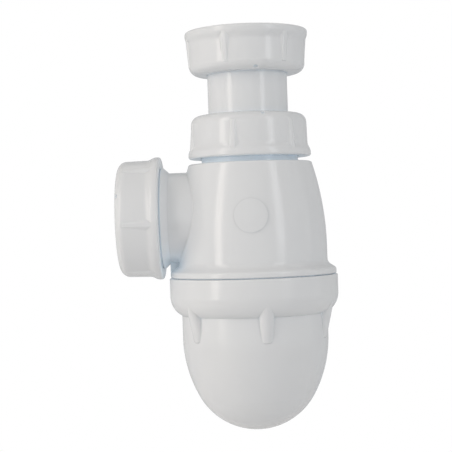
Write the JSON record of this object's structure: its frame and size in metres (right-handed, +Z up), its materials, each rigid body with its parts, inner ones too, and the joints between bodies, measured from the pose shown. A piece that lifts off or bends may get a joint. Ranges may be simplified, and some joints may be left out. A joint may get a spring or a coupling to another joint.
{
  "type": "basin bottle trap",
  "caption": "Telescopic plastic bottle trap for a wash basin: ribbed union nuts, sliding inlet tube, side outlet with pipe socket and a screw-off bottom cup.",
  "frame": {"origin": "on the inlet axis, at the top of the inlet washer, where the tail of a basin waste seals", "axes": "+Z up along the inlet, towards the basin; the outlet leaves along -X; the front is -Y"},
  "size_m": [0.0939, 0.073, 0.1726],
  "materials": {
    "white_plastic": "satin",
    "seal_rubber": "matte"
  },
  "bodies": {
    "body": {"trap_body": "white_plastic", "collar_seal": "seal_rubber", "outlet_seal": "seal_rubber"},
    "inlet": {"inlet_tube": "white_plastic", "inlet_washer": "seal_rubber"},
    "inlet_nut": {"inlet_nut": "white_plastic"},
    "collar_ring": {"collar_slip_ring": "white_plastic"},
    "collar_nut": {"collar_nut": "white_plastic"},
    "outlet_ring": {"outlet_slip_ring": "white_plastic"},
    "outlet_nut": {"outlet_nut": "white_plastic"},
    "cup_ring": {"cup_seal": "seal_rubber"},
    "cup": {"bottle_cup": "white_plastic"}
  },
  "joints": [
    {"name": "inlet_slide", "type": "slide", "parent": "body", "child": "inlet", "axis": [0, 0, 1], "range_m": [-0.01, 0.033]},
    {"name": "inlet_nut_spin", "type": "hinge", "parent": "inlet", "child": "inlet_nut", "pos_m": [0, 0, 0], "axis": [0, 0, 1], "continuous": true},
    {"name": "collar_nut_travel", "type": "slide", "parent": "body", "child": "collar_ring", "axis": [0, 0, 1], "range_m": [0, 0.00694]},
    {"name": "collar_nut_turn", "type": "hinge", "parent": "collar_ring", "child": "collar_nut", "pos_m": [0, 0, -0.0352], "axis": [0, 0, 1], "range_deg": [0, 1080]},
    {"name": "outlet_nut_travel", "type": "slide", "parent": "body", "child": "outlet_ring", "axis": [-1, 0, 0], "range_m": [0, 0.00694]},
    {"name": "outlet_nut_turn", "type": "hinge", "parent": "outlet_ring", "child": "outlet_nut", "pos_m": [-0.0485, 0, -0.0692], "axis": [-1, 0, 0], "range_deg": [0, 1080]},
    {"name": "cup_travel", "type": "slide", "parent": "body", "child": "cup_ring", "axis": [0, 0, -1], "range_m": [0, 0.00641]},
    {"name": "cup_turn", "type": "hinge", "parent": "cup_ring", "child": "cup", "pos_m": [0, 0, -0.1], "axis": [0, 0, -1], "range_deg": [0, 720]}
  ],
  "couplings": [
    {"joint": "collar_nut_travel", "follows": "collar_nut_turn", "m_per_rad": 0.00036749},
    {"joint": "outlet_nut_travel", "follows": "outlet_nut_turn", "m_per_rad": 0.00036749},
    {"joint": "cup_travel", "follows": "cup_turn", "m_per_rad": 0.0005093}
  ]
}
